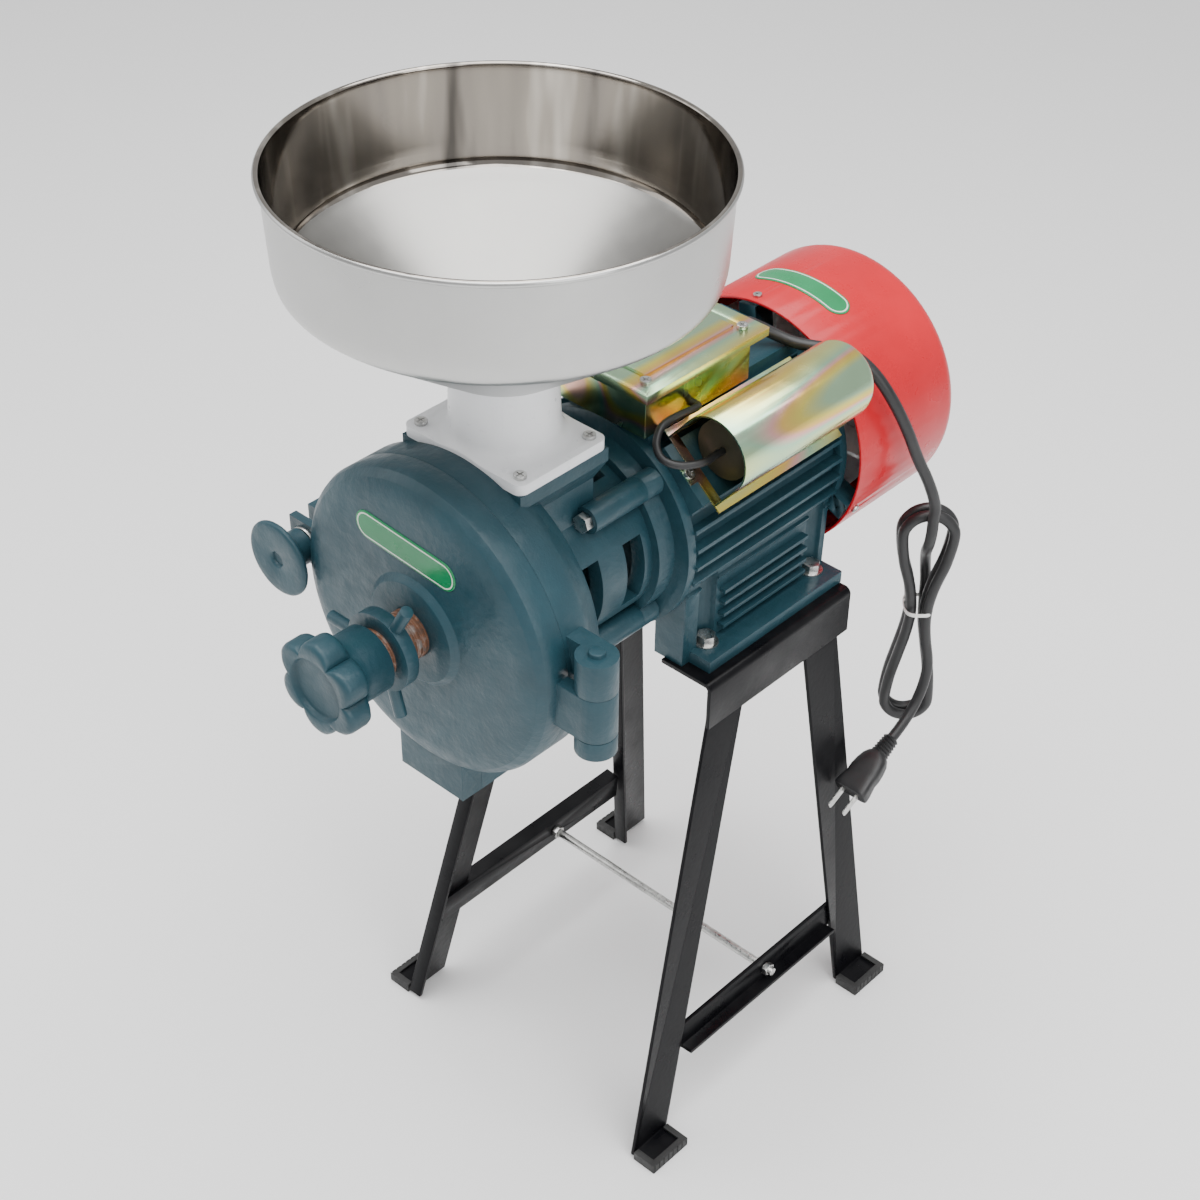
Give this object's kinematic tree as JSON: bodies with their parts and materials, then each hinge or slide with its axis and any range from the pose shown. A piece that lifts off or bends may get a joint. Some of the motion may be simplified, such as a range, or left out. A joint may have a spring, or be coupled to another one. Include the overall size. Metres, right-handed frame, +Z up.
{
  "type": "electric grain mill",
  "caption": "Motor-driven disc mill for grain with a round feed pan, hinged front cover and a splayed four-legged stand.",
  "frame": {"origin": "On the floor, under the motor shaft's line, midway between the front and rear feet.", "axes": "+X to the right seen from the front cover, -Y towards the front cover, +Z up; the shaft runs along Y."},
  "size_m": [0.2845, 0.509, 0.7456],
  "materials": {
    "black_paint": "semi-gloss black paint",
    "zinc": "zinc plated",
    "rubber": "matte black",
    "teal_paint": "semi-gloss blue-green paint over cast iron",
    "red_paint": "gloss red paint",
    "gold_zinc": "iridescent yellow zinc",
    "grey_iron": "bare cast iron",
    "copper": "varnished copper wire",
    "white_plastic": "white plastic",
    "dark_plastic": "dark olive plastic case",
    "steel_pan": "satin stainless sheet, polished inside",
    "green_label": "plain green label"
  },
  "bodies": {
    "stand": {"right_rail": "black_paint", "left_rail": "black_paint", "front_right_leg": "black_paint", "rear_right_leg": "black_paint", "front_left_leg": "black_paint", "rear_left_leg": "black_paint", "right_brace": "black_paint", "left_brace": "black_paint", "tie_rod": "zinc", "tie_rod_nuts": "zinc", "front_right_foot": "rubber", "rear_right_foot": "rubber", "front_left_foot": "rubber", "rear_left_foot": "rubber", "motor_casing": "teal_paint", "stator_core": "grey_iron", "stator_windings": "copper", "front_end_shield": "teal_paint", "rear_end_shield": "teal_paint", "front_bearing": "zinc", "rear_bearing": "zinc", "fan_cover": "red_paint", "fan_cover_screws": "zinc", "motor_foot_bolts": "zinc", "fan_cover_label": "green_label", "terminal_box": "gold_zinc", "terminal_box_lid": "gold_zinc", "lid_screws": "zinc", "terminal_block": "white_plastic", "capacitor": "dark_plastic", "capacitor_cover": "gold_zinc", "capacitor_screws": "zinc", "capacitor_lead": "rubber", "cord_gland": "rubber", "power_cord": "rubber", "cord_hank": "rubber", "cord_tie": "white_plastic", "plug_body": "rubber", "plug_blades": "zinc", "grinder_housing": "teal_paint", "housing_bolts": "zinc", "inlet_throat": "white_plastic", "throat_screws": "zinc", "hinge_pin": "zinc"},
    "rotor": {"motor_shaft": "zinc", "rotor_core": "grey_iron", "cooling_fan": "white_plastic", "feed_auger": "grey_iron", "rotating_disc": "grey_iron"},
    "pan": {"hopper": "steel_pan"},
    "cover": {"front_cover": "teal_paint", "cover_badge": "green_label"},
    "grind_plate": {"disc_carrier": "grey_iron", "stationary_disc": "grey_iron"},
    "knob": {"adjusting_screw": "grey_iron", "adjusting_knob": "teal_paint"},
    "ring": {"lock_ring": "teal_paint"},
    "clamp_slide": {"clamp_washer": "zinc"},
    "clamp_turn": {"clamp_knob": "teal_paint"}
  },
  "joints": [
    {"name": "rotor_spin", "type": "hinge", "parent": "stand", "child": "rotor", "pos_m": [0, 0, 0.47], "axis": [0, -1, 0], "continuous": true},
    {"name": "pan_lift", "type": "slide", "parent": "stand", "child": "pan", "axis": [0, 0, 1], "range_m": [0, 0.05]},
    {"name": "cover_open", "type": "hinge", "parent": "stand", "child": "cover", "pos_m": [0.123, -0.187, 0.468], "axis": [0, 0, 1], "range_deg": [0, 110]},
    {"name": "disc_feed", "type": "slide", "parent": "cover", "child": "grind_plate", "axis": [0, -1, 0], "range_m": [0, 0.002]},
    {"name": "knob_turn", "type": "hinge", "parent": "grind_plate", "child": "knob", "pos_m": [0, -0.28, 0.47], "axis": [0, -1, 0], "range_deg": [0, 360]},
    {"name": "ring_turn", "type": "hinge", "parent": "knob", "child": "ring", "pos_m": [0, -0.24, 0.47], "axis": [0, -1, 0], "range_deg": [-90, 90]},
    {"name": "clamp_feed", "type": "slide", "parent": "cover", "child": "clamp_slide", "axis": [0, -1, 0], "range_m": [0, 0.0045]},
    {"name": "clamp_turn", "type": "hinge", "parent": "clamp_slide", "child": "clamp_turn", "pos_m": [-0.119, -0.21, 0.465], "axis": [0, -1, 0], "range_deg": [0, 1080]}
  ],
  "couplings": [
    {"joint": "disc_feed", "follows": "knob_turn", "m_per_rad": 0.00031831},
    {"joint": "clamp_feed", "follows": "clamp_turn", "m_per_rad": 0.00023873}
  ]
}
